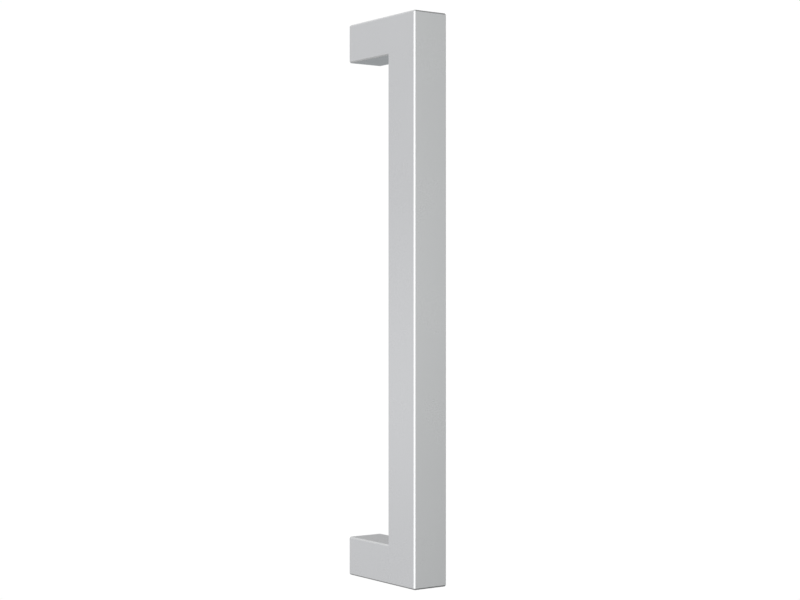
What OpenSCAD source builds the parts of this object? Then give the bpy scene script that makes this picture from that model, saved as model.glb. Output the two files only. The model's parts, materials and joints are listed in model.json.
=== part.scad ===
// U-shaped cabinet handle: a square-cornered grip bar standing on two posts, all one piece of metal.
// The bar runs along Z. The posts' feet lie on the door's face, the plane y = 0, and the handle
// projects from it towards -Y. The origin is midway between the two screw holes, on that plane.

/* [Fixing] */
// Distance between the centres of the two screw holes
hole_spacing = 160; // [96:16:320]
// Tapping drill diameter of a screw hole, here for an M4 thread
tap_d = 3.3; // [2.5:0.1:4]
// Depth of a screw hole's straight wall below the foot
tap_depth = 12; // [6:0.5:16]
// Included angle of the drill point at the bottom of a screw hole
drill_point = 118; // [90:1:140]
// Diameter of a screw hole's countersunk mouth, with 90 degree sides
mouth_d = 4.2; // [4.1:0.1:6]

/* [Bar] */
// Width of the bar and of both posts, across the handle
width = 12; // [8:0.5:20]
// Depth of the grip bar, from its front face to its inner face
bar_depth = 13.8; // [8:0.1:20]

/* [Posts] */
// Height of a post, along the handle
post_height = 11.9; // [8:0.1:20]
// Projection of the handle, from the door's face to the front face
projection = 35; // [25:0.1:60]

/* [Edges] */
// Leg of the flat 45 degree chamfer on every outer edge
edge_chamfer = 0.45; // [0.1:0.05:1.5]

/* [Hidden] */
$fn = 64;
// Overall length, with a screw hole at the middle of each post
length = hole_spacing + post_height;
// How far cutting shapes and crossing outlines run past the metal
past = 1;

// Corner points of a centred rectangle, a by b, with a 45 degree chamfer of the given leg at each corner
function chamfered_rectangle(a, b, leg) = [
    [a / 2 - leg, -b / 2], [a / 2, leg - b / 2],
    [a / 2, b / 2 - leg], [a / 2 - leg, b / 2],
    [leg - a / 2, b / 2], [-a / 2, b / 2 - leg],
    [-a / 2, leg - b / 2], [leg - a / 2, -b / 2]
];

// Centred block with all twelve edges chamfered: three chamfered outlines that cross each other
module eased_block(x, y, z) {
    intersection() {
        linear_extrude(z + 2 * past, center = true)
            polygon(chamfered_rectangle(x, y, edge_chamfer));
        rotate([90, 0, 0])
            linear_extrude(y + 2 * past, center = true)
                polygon(chamfered_rectangle(x, z, edge_chamfer));
        rotate([90, 0, 90])
            linear_extrude(x + 2 * past, center = true)
                polygon(chamfered_rectangle(y, z, edge_chamfer));
    }
}

// Grip bar, over the full length at the front of the handle
module bar() {
    translate([0, bar_depth / 2 - projection, 0])
        eased_block(width, bar_depth, length);
}

// Post at one end, from the foot on the door's face through to the front face
module post(end) {
    translate([0, -projection / 2, end * hole_spacing / 2])
        eased_block(width, projection, post_height);
}

// Blind hole for the tapped thread, drilled from the foot: drill point, straight wall, countersunk mouth
module screw_hole(end) {
    tap_r = tap_d / 2;
    mouth_r = mouth_d / 2;
    point_depth = tap_r / tan(drill_point / 2);
    translate([0, 0, end * hole_spacing / 2])
        rotate([-90, 0, 0])
            rotate_extrude()
                polygon([
                    [0, -tap_depth - point_depth], [tap_r, -tap_depth],
                    [tap_r, tap_r - mouth_r], [mouth_r + past, past], [0, past]
                ]);
}

// The whole handle
module handle() {
    color("#C4C5C7")
        difference() {
            union() {
                bar();
                for (end = [-1, 1]) post(end);
            }
            for (end = [-1, 1]) screw_hole(end);
        }
}

handle();
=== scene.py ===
import json
import math

import bmesh
import bpy
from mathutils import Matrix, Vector


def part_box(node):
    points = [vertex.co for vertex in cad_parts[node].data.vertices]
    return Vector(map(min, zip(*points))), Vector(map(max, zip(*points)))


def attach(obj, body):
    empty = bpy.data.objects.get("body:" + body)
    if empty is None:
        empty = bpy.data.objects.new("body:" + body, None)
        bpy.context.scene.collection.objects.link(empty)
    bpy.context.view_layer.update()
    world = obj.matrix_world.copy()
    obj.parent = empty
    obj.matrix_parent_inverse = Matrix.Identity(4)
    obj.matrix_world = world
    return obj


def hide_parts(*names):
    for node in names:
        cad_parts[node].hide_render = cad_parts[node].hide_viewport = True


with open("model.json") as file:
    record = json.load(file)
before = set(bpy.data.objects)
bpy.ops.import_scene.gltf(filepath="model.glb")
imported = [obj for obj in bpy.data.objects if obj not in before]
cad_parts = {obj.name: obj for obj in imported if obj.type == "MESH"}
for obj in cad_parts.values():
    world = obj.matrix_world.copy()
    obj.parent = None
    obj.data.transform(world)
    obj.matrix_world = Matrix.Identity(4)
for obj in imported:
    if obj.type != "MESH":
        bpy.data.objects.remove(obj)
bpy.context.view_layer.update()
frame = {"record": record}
scene = bpy.context.scene
mm = 0.001

# the solid handle gives the outer sizes, and its screw holes the height of a post
low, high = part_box("handle")
mounts = {mount["name"]: mount for mount in frame["record"]["mounts"]}
holeDims = mounts["screw_holes"]["dims"]
holeSpacing = holeDims["spacing_y_mm"] * mm
postHeight = (high.z - low.z) - holeSpacing  # a hole is in the middle of each post
holePlaces = [Vector((0, high.y, end * holeSpacing / 2)) for end in (-1, 1)]
print("frame loaded, handle box in mm:", [round(side / mm, 2) for side in high - low])

squareOn = 0.9  # a face looks along an axis when its normal has more of it than this


def deselectAll():
    if bpy.context.object and bpy.context.object.mode == "EDIT":
        bpy.ops.object.mode_set(mode="OBJECT")
    bpy.ops.object.select_all(action="DESELECT")


def makeActive(piece):
    deselectAll()
    piece.select_set(True)
    bpy.context.view_layer.objects.active = piece


def startEdit(piece, elements):
    makeActive(piece)
    bpy.ops.object.mode_set(mode="EDIT")
    bpy.ops.mesh.select_mode(type=elements)


def pick(piece, elements, test):  # selects the faces, edges or verts that pass the test
    cage = bmesh.from_edit_mesh(piece.data)
    bpy.ops.mesh.select_all(action="DESELECT")
    for element in getattr(cage, elements):
        element.select_set(test(element))
    cage.select_flush_mode()
    bmesh.update_edit_mesh(piece.data)


def applyModifier(piece, kind, **settings):
    makeActive(piece)
    modifier = piece.modifiers.new(kind.title(), kind)
    for name, value in settings.items():
        setattr(modifier, name, value)
    bpy.ops.object.modifier_apply(modifier=modifier.name)


# grip bar and posts
grip = {
    "barDepth": 13.8 * mm,  # front face to inner face
    "chamfer": 0.45 * mm,  # leg of the flat on every outer edge
    "chamferFrom": math.radians(80),  # edges that turn more than this get the flat
    "softRadius": 0.05 * mm,  # where a flat meets a face, worn round by blasting before the anodising
    "softSteps": 3,
    "softFrom": math.radians(30),  # edges that turn more than this are worn round
    "smoothBelow": math.radians(28),  # edges that turn less than this are shaded smooth
    "flatWeight": 100,  # large faces set the shading, so they stay flat
}


def modelGrip():
    innerY = low.y + grip["barDepth"]
    innerZ = high.z - postHeight
    deselectAll()
    bpy.ops.mesh.primitive_cube_add(size=1, location=(0, (low.y + innerY) / 2, 0))
    piece = bpy.context.object
    piece.name = "handle_body"
    piece.scale = (high.x - low.x, grip["barDepth"], high.z - low.z)
    bpy.ops.object.transform_apply(location=True, rotation=True, scale=True)

    startEdit(piece, "FACE")
    for z in (-innerZ, innerZ):  # marks off the ends that the posts grow from
        bpy.ops.mesh.select_all(action="SELECT")
        bpy.ops.mesh.bisect(plane_co=(0, 0, z), plane_no=(0, 0, 1))
    pick(piece, "faces", lambda face: face.normal.y > squareOn and abs(face.calc_center_median().z) > innerZ)
    bpy.ops.mesh.extrude_region_move(TRANSFORM_OT_translate={"value": (0, high.y - innerY, 0)})

    bpy.ops.mesh.select_mode(type="EDGE")
    pick(piece, "edges", lambda edge: edge.is_convex and edge.calc_face_angle() > grip["chamferFrom"])
    bpy.ops.mesh.bevel(offset=grip["chamfer"], offset_type="OFFSET", segments=1, affect="EDGES")
    bpy.ops.object.mode_set(mode="OBJECT")
    applyModifier(piece, "BEVEL", width=grip["softRadius"], segments=grip["softSteps"],
                  limit_method="ANGLE", angle_limit=grip["softFrom"])
    return piece


handleBody = modelGrip()
print("grip modelled:", len(handleBody.data.polygons), "faces")

# tapped screw holes, M4 x 0.7, blind
screwHole = {
    "wallRadius": holeDims["hole_r_mm"] * mm,
    "wallDepth": 12 * mm,
    "drillPoint": math.radians(118),
    "mouthRadius": 2.1 * mm,  # countersunk at 90 degrees
    "threadRadius": 2.0 * mm,
    "threadPitch": 0.7 * mm,
    "threadDepth": 10 * mm,
    "flankLean": math.radians(30),
    "spareTurns": 2,  # cut away again to square off the thread's ends
    "segments": 64,
    "past": 0.5 * mm,  # the drill's shape runs on this far outside the mouth
    "overlap": 0.05 * mm,  # the tap's shape starts this far inside the drilled wall
    "slack": 0.01 * mm,  # for telling the hole's faces from the foot's
}


def modelDrill():  # the shape that drill and countersink take out, along Y with its mouth at the origin
    wall, mouth = screwHole["wallRadius"], screwHole["mouthRadius"]
    sinkDepth = mouth - wall
    deselectAll()
    bpy.ops.mesh.primitive_cylinder_add(
        vertices=screwHole["segments"], radius=wall, depth=screwHole["wallDepth"] - sinkDepth,
        location=(0, -(screwHole["wallDepth"] + sinkDepth) / 2, 0), rotation=(math.pi / 2, 0, 0))
    piece = bpy.context.object
    bpy.ops.object.transform_apply(location=True, rotation=True, scale=True)
    startEdit(piece, "FACE")
    pick(piece, "faces", lambda face: face.normal.y < -squareOn)
    pointDepth = wall / math.tan(screwHole["drillPoint"] / 2)
    bpy.ops.mesh.extrude_region_move(TRANSFORM_OT_translate={"value": (0, -pointDepth, 0)})
    bpy.ops.mesh.merge(type="CENTER")
    pick(piece, "faces", lambda face: face.normal.y > squareOn)
    bpy.ops.mesh.extrude_region_move(TRANSFORM_OT_translate={"value": (0, sinkDepth + screwHole["past"], 0)})
    flare = (mouth + screwHole["past"]) / wall
    bpy.ops.transform.resize(value=(flare, 1, flare))
    bpy.ops.object.mode_set(mode="OBJECT")
    return piece


def modelTap():  # the shape that the tap takes out: one tooth profile screwed along the hole
    pitch = screwHole["threadPitch"]
    crest = screwHole["threadRadius"]
    root = screwHole["wallRadius"] - screwHole["overlap"]  # only the teeth cut into the drilled wall
    halfway = (crest + root) / 2
    crestFlat = pitch / 8  # as metric threads have it
    toothWidth = crestFlat + 2 * (crest - root) * math.tan(screwHole["flankLean"])
    turns = round(screwHole["threadDepth"] / pitch) + screwHole["spareTurns"]
    deselectAll()
    bpy.ops.mesh.primitive_plane_add(size=1)
    piece = bpy.context.object
    piece.scale = (crest - root, toothWidth, 1)
    piece.location = (halfway, toothWidth / 2, 0)
    bpy.ops.object.transform_apply(location=True, rotation=True, scale=True)
    startEdit(piece, "EDGE")
    pick(piece, "edges", lambda edge: all(vert.co.x > halfway for vert in edge.verts))
    bpy.ops.transform.resize(value=(1, crestFlat / toothWidth, 1))
    bpy.ops.mesh.select_all(action="SELECT")
    bpy.ops.mesh.delete(type="ONLY_FACE")
    pick(piece, "edges", lambda edge: all(vert.co.x < halfway for vert in edge.verts))
    bpy.ops.mesh.delete(type="EDGE")
    bpy.ops.mesh.select_mode(type="VERT")
    pick(piece, "verts", lambda vert: vert.co.x < halfway and vert.co.y > toothWidth / 2)
    bpy.ops.mesh.extrude_region_move(TRANSFORM_OT_translate={"value": (0, pitch - toothWidth, 0)})
    bpy.ops.object.mode_set(mode="OBJECT")
    applyModifier(piece, "SCREW", axis="Y", screw_offset=pitch, iterations=turns,
                  steps=screwHole["segments"], render_steps=screwHole["segments"],
                  use_merge_vertices=False)

    startEdit(piece, "FACE")
    bpy.ops.mesh.select_all(action="SELECT")
    bpy.ops.mesh.remove_doubles(threshold=pitch / 200)  # joins each turn to the next
    topY = turns * pitch
    cutTolerance = 1e-8
    for y, cleared in ((pitch, "clear_inner"), (topY - pitch / 2, "clear_outer")):  # squares off the ends
        bpy.ops.mesh.select_all(action="SELECT")
        bpy.ops.mesh.bisect(plane_co=(0, y, 0), plane_no=(0, 1, 0), threshold=cutTolerance,
                            use_fill=True, **{cleared: True})
    bpy.ops.mesh.select_all(action="SELECT")
    bpy.ops.transform.translate(value=(0, -topY + pitch, 0))  # ends half a pitch outside the mouth
    halfStep = math.pi / screwHole["segments"]  # keeps its edges off the drill's edges
    bpy.ops.transform.rotate(value=halfStep, orient_axis="Y", center_override=(0, 0, 0))
    bpy.ops.mesh.normals_make_consistent(inside=False)
    bpy.ops.object.mode_set(mode="OBJECT")
    return piece


def cutScrewHoles():
    cutters = [modelDrill(), modelTap()]
    for place in holePlaces:
        for cutter in cutters:
            cutter.location = place
            bpy.context.view_layer.update()
            applyModifier(handleBody, "BOOLEAN", object=cutter, operation="DIFFERENCE", solver="EXACT")
    for cutter in cutters:
        bpy.data.objects.remove(cutter)


def shadeHandle():
    makeActive(handleBody)
    bpy.ops.object.shade_smooth_by_angle(angle=grip["smoothBelow"])
    applyModifier(handleBody, "WEIGHTED_NORMAL", mode="FACE_AREA", weight=grip["flatWeight"], keep_sharp=True)


cutScrewHoles()
shadeHandle()
print("screw holes cut:", len(handleBody.data.polygons), "faces")


def toLinear(hexColour):
    channels = [int(hexColour[i:i + 2], 16) / 255 for i in (1, 3, 5)]
    return [c / 12.92 if c <= 0.04045 else ((c + 0.055) / 1.055) ** 2.4 for c in channels] + [1]


def addNode(tree, kind, inputs=None, **settings):  # an input is a value or another node's output
    node = tree.nodes.new(kind)
    for name, value in settings.items():
        setattr(node, name, value)
    for name, value in (inputs or {}).items():
        if isinstance(value, bpy.types.NodeSocket):
            tree.links.new(value, node.inputs[name])
        else:
            node.inputs[name].default_value = value
    return node


def newMaterial(name):
    material = bpy.data.materials.new(name)
    material.use_nodes = True
    material.node_tree.nodes.clear()
    return material, material.node_tree


noiseLow, noiseHigh = 0.3, 0.7  # most of a noise texture's values lie between these
mixFirst, mixSecond, mixResult = 6, 7, 2  # a Mix node's colour sockets, since others have the same names

# Satin anodised aluminium: drawn bar that is finely blasted, etched and anodised without a dye.
# It gives the eye an even, slightly cool silver that blurs what it mirrors, a fine grain close up,
# and smoother rubbed edges.
anodised = {
    "etchedColours": ("#C4C5C7", "#C8C9CB"),  # slow drift of the etched layer
    "rubbedColour": "#CBCCCD",
    "roughness": 0.28,
    "etchedDrift": 0.012,  # of the roughness, either way
    "grainDrift": 0.006,
    "rubbedSmoother": 0.03,
    "rubbedFrom": 0.98,  # largest part of a normal where the rubbing starts
    "rubbedFully": 0.85,
    "patch": 14 * mm,
    "patchDetail": 3.0,
    "grain": 0.25 * mm,  # real blasted dents are about 0.06 mm, drawn this coarse so that they show
    "grainDetail": 2.0,
    "grainHeight": 0.004 * mm,
}


def satinAnodisedAluminium():
    material, tree = newMaterial("satin anodised aluminium")
    place = addNode(tree, "ShaderNodeTexCoord")
    patches = addNode(tree, "ShaderNodeTexNoise", {
        "Vector": place.outputs["Object"], "Scale": 1 / anodised["patch"], "Detail": anodised["patchDetail"]})
    grain = addNode(tree, "ShaderNodeTexNoise", {
        "Vector": place.outputs["Object"], "Scale": 1 / anodised["grain"], "Detail": anodised["grainDetail"]})

    # chamfers and corners, told from the flat sides by their slanted normals
    slant = addNode(tree, "ShaderNodeVectorMath", {0: place.outputs["Normal"]}, operation="ABSOLUTE")
    parts = addNode(tree, "ShaderNodeSeparateXYZ", {0: slant.outputs[0]})
    largest = addNode(tree, "ShaderNodeMath", {
        0: parts.outputs["X"], 1: parts.outputs["Y"]}, operation="MAXIMUM")
    largest = addNode(tree, "ShaderNodeMath", {
        0: largest.outputs[0], 1: parts.outputs["Z"]}, operation="MAXIMUM")
    rubbed = addNode(tree, "ShaderNodeMapRange", {
        "Value": largest.outputs[0], "From Min": anodised["rubbedFrom"],
        "From Max": anodised["rubbedFully"], "To Min": 0.0, "To Max": 1.0})

    darker, lighter = (toLinear(colour) for colour in anodised["etchedColours"])
    etched = addNode(tree, "ShaderNodeMix", {
        0: patches.outputs[0], mixFirst: darker, mixSecond: lighter}, data_type="RGBA")
    colour = addNode(tree, "ShaderNodeMix", {
        0: rubbed.outputs[0], mixFirst: etched.outputs[mixResult],
        mixSecond: toLinear(anodised["rubbedColour"])}, data_type="RGBA")

    uneven = addNode(tree, "ShaderNodeMapRange", {
        "Value": patches.outputs[0], "From Min": noiseLow, "From Max": noiseHigh,
        "To Min": anodised["roughness"] - anodised["etchedDrift"],
        "To Max": anodised["roughness"] + anodised["etchedDrift"]})
    grainy = addNode(tree, "ShaderNodeMapRange", {
        "Value": grain.outputs[0], "From Min": noiseLow, "From Max": noiseHigh,
        "To Min": -anodised["grainDrift"], "To Max": anodised["grainDrift"]})
    rough = addNode(tree, "ShaderNodeMath", {0: uneven.outputs[0], 1: grainy.outputs[0]}, operation="ADD")
    rough = addNode(tree, "ShaderNodeMath", {
        0: rubbed.outputs[0], 1: -anodised["rubbedSmoother"],
        2: rough.outputs[0]}, operation="MULTIPLY_ADD")
    dents = addNode(tree, "ShaderNodeBump", {
        "Height": grain.outputs[0], "Strength": 1.0, "Distance": anodised["grainHeight"]})

    shader = addNode(tree, "ShaderNodeBsdfPrincipled", {
        "Base Color": colour.outputs[mixResult], "Metallic": 1.0,
        "Roughness": rough.outputs[0], "Normal": dents.outputs[0]})
    addNode(tree, "ShaderNodeOutputMaterial", {"Surface": shader.outputs["BSDF"]})
    return material


# Cut aluminium: the drill and the tap went in after the anodising, so the hole walls are bare metal.
# It gives the eye a brighter, shinier silver with fine tool lines round the hole.
cutMetal = {
    "colours": ("#CDCDCC", "#DEDEDD"),
    "roughness": (0.18, 0.30),
    "toolLine": 0.12 * mm,  # real lines are about 0.02 mm apart, drawn this coarse so that they show
    "lineLength": 3 * mm,
    "lineDetail": 1.0,
}


def cutAluminium():
    material, tree = newMaterial("cut aluminium")
    place = addNode(tree, "ShaderNodeTexCoord")
    stretch = cutMetal["toolLine"] / cutMetal["lineLength"]
    along = addNode(tree, "ShaderNodeMapping", {
        "Vector": place.outputs["Object"], "Scale": (stretch, 1, stretch)})
    lines = addNode(tree, "ShaderNodeTexNoise", {
        "Vector": along.outputs[0], "Scale": 1 / cutMetal["toolLine"], "Detail": cutMetal["lineDetail"]})
    dull, bright = (toLinear(colour) for colour in cutMetal["colours"])
    colour = addNode(tree, "ShaderNodeMix", {
        0: lines.outputs[0], mixFirst: dull, mixSecond: bright}, data_type="RGBA")
    shiny, matt = cutMetal["roughness"]
    rough = addNode(tree, "ShaderNodeMapRange", {
        "Value": lines.outputs[0], "From Min": noiseLow, "From Max": noiseHigh,
        "To Min": matt, "To Max": shiny})
    shader = addNode(tree, "ShaderNodeBsdfPrincipled", {
        "Base Color": colour.outputs[mixResult], "Metallic": 1.0, "Roughness": rough.outputs[0]})
    addNode(tree, "ShaderNodeOutputMaterial", {"Surface": shader.outputs["BSDF"]})
    return material


def inScrewHole(face):  # mouth, wall, thread and drill point, but not the foot round them
    centre = face.calc_center_median()
    belowFoot = high.y - centre.y
    deepest = screwHole["wallDepth"] + screwHole["wallRadius"]  # past the drill point
    reach = screwHole["mouthRadius"] + screwHole["slack"]
    return screwHole["slack"] < belowFoot < deepest and any(
        math.hypot(centre.x, centre.z - place.z) < reach for place in holePlaces)


def finishHandle():
    satin = satinAnodisedAluminium()
    cut = cutAluminium()
    handleBody.data.materials.clear()
    handleBody.data.materials.append(satin)
    handleBody.data.materials.append(cut)
    startEdit(handleBody, "FACE")
    pick(handleBody, "faces", inScrewHole)
    handleBody.active_material_index = handleBody.data.materials.find(cut.name)
    bpy.ops.object.material_slot_assign()
    bpy.ops.object.mode_set(mode="OBJECT")
    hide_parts("handle")
    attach(handleBody, "root")


finishHandle()
print("finish set")

# white light table and white surround, as bright as paper to the camera
stage = {
    "size": 6.0,
    "white": "#FFFFFF",
    "whiteGlow": 1.01,  # a little over, so that the white is even
    "fill": 0.48,  # dimmer studio that the metal mirrors
    "fillLean": (-0.24, -0.12, 0.1),  # lighter to the left, in front and above
}


def layTable():
    material, tree = newMaterial("lit white acrylic")
    glow = addNode(tree, "ShaderNodeEmission", {
        "Color": toLinear(stage["white"]), "Strength": stage["whiteGlow"]})
    addNode(tree, "ShaderNodeOutputMaterial", {"Surface": glow.outputs["Emission"]})
    deselectAll()
    bpy.ops.mesh.primitive_plane_add(size=stage["size"], location=(0, 0, low.z))
    floor = bpy.context.object
    floor.name = "floor"
    floor.data.materials.append(material)
    floor.visible_diffuse = False  # the metal mirrors the dimmer studio instead
    floor.visible_glossy = False


def lightSurround():
    scene.world = bpy.data.worlds.new("studio")
    scene.world.use_nodes = True
    tree = scene.world.node_tree
    tree.nodes.clear()
    outward = addNode(tree, "ShaderNodeTexCoord")
    lean = addNode(tree, "ShaderNodeVectorMath", {
        0: outward.outputs["Generated"], 1: stage["fillLean"]}, operation="DOT_PRODUCT")
    level = addNode(tree, "ShaderNodeMath", {0: lean.outputs["Value"], 1: stage["fill"]}, operation="ADD")
    fill = addNode(tree, "ShaderNodeBackground", {
        "Color": toLinear(stage["white"]), "Strength": level.outputs[0]})
    seen = addNode(tree, "ShaderNodeBackground", {
        "Color": toLinear(stage["white"]), "Strength": stage["whiteGlow"]})
    path = addNode(tree, "ShaderNodeLightPath")
    mixed = addNode(tree, "ShaderNodeMixShader", {
        0: path.outputs["Is Camera Ray"], 1: fill.outputs[0], 2: seen.outputs[0]})
    addNode(tree, "ShaderNodeOutputWorld", {"Surface": mixed.outputs[0]})


layTable()
lightSurround()
print("stage set")

# softboxes and what each lights: degrees round the handle from its front to the right, degrees up from level,
# width and height, and distance in metres
softboxes = {
    "nearEdge": {"around": -54, "up": 0, "size": (0.5, 1.2), "distance": 1.2, "glow": 1.17},
    "leftPanel": {"around": -144, "up": -4, "size": (1.2, 1.3), "distance": 1.2, "glow": 0.44},  # left side
    "leftBand": {"around": -144, "up": -4, "size": (1.2, 0.2), "distance": 1.1, "glow": 0.14},  # its middle
    "frontPanel": {"around": 19, "up": 4, "size": (1.0, 1.1), "distance": 1.2, "glow": 0.53,
                   "tint": "#FDFFFB"},  # front
    "frontBand": {"around": 22, "up": 0, "size": (1.0, 0.17), "distance": 1.1, "glow": 0.1},  # its middle
    "backTop": {"around": -179, "up": 36, "size": (1.5, 0.4), "distance": 1.2, "glow": 0.69},  # high chamfers
    "backPanel": {"around": 152, "up": 10, "size": (0.5, 0.4), "distance": 1.2, "glow": 0.38},  # post's top
    "backDip": {"around": 152, "up": -9, "size": (0.46, 0.35), "distance": 1.1, "glow": 0.32,
                "tint": "#F2FBFF"},  # post's underside
    "backLow": {"around": -169, "up": -38, "size": (0.6, 0.5), "distance": 1.2, "glow": 0.28},  # low chamfers
    "rightPanel": {"around": 102, "up": 0, "size": (1.0, 1.0), "distance": 1.2, "glow": 0.65},  # right side
    "behindPanel": {"around": 180, "up": 0, "size": (0.6, 0.6), "distance": 1.2, "glow": 0.3},  # feet
    "leftSidePanel": {"around": -98, "up": 0, "size": (0.5, 1.0), "distance": 1.2, "glow": 0.4},
    "overhead": {"around": 180, "up": 89, "size": (1.0, 1.0), "distance": 1.2, "glow": 0.6},
}


def hangSoftbox(name, box):
    around, up = math.radians(box["around"]), math.radians(box["up"])
    outward = Vector((math.sin(around) * math.cos(up), -math.cos(around) * math.cos(up), math.sin(up)))
    deselectAll()
    bpy.ops.object.light_add(type="AREA", location=(low + high) / 2 + box["distance"] * outward,
                             rotation=outward.to_track_quat("Z", "Y").to_euler())
    light = bpy.context.object
    light.name = name
    light.visible_camera = False
    wide, tall = box["size"]
    light.data.shape = "RECTANGLE"
    light.data.size = wide
    light.data.size_y = tall
    light.data.energy = box["glow"] * math.pi * wide * tall  # glow is how bright its face is
    light.data.color = toLinear(box.get("tint", stage["white"]))[:3]


for name, box in softboxes.items():
    hangSoftbox(name, box)
print("softboxes hung:", len(softboxes))

# camera, level with the handle's middle and left of its front
cameraPlace = {
    "lens": 74.3,  # on a sensor 36 mm wide
    "turn": math.radians(35.35),
    "distance": 488.2 * mm,  # to the handle's near edge
    "sideways": 4.25 * mm,  # of that edge from the middle of the picture
    "below": 0.03 * mm,  # the handle's middle
    "seesFrom": 1 * mm,
    "seesTo": 20.0,
}


def placeCamera():
    turn = cameraPlace["turn"]
    forward = Vector((math.sin(turn), math.cos(turn), 0))
    right = Vector((math.cos(turn), -math.sin(turn), 0))
    nearEdge = Vector((low.x, low.y, (low.z + high.z) / 2 - cameraPlace["below"]))
    deselectAll()
    bpy.ops.object.camera_add(
        location=nearEdge - cameraPlace["sideways"] * right - cameraPlace["distance"] * forward,
        rotation=(math.pi / 2, 0, -turn))
    scene.camera = bpy.context.object
    scene.camera.data.lens = cameraPlace["lens"]
    scene.camera.data.clip_start = cameraPlace["seesFrom"]
    scene.camera.data.clip_end = cameraPlace["seesTo"]


placeCamera()
scene.view_settings.view_transform = "Standard"
scene.view_settings.look = "None"
print("camera set")
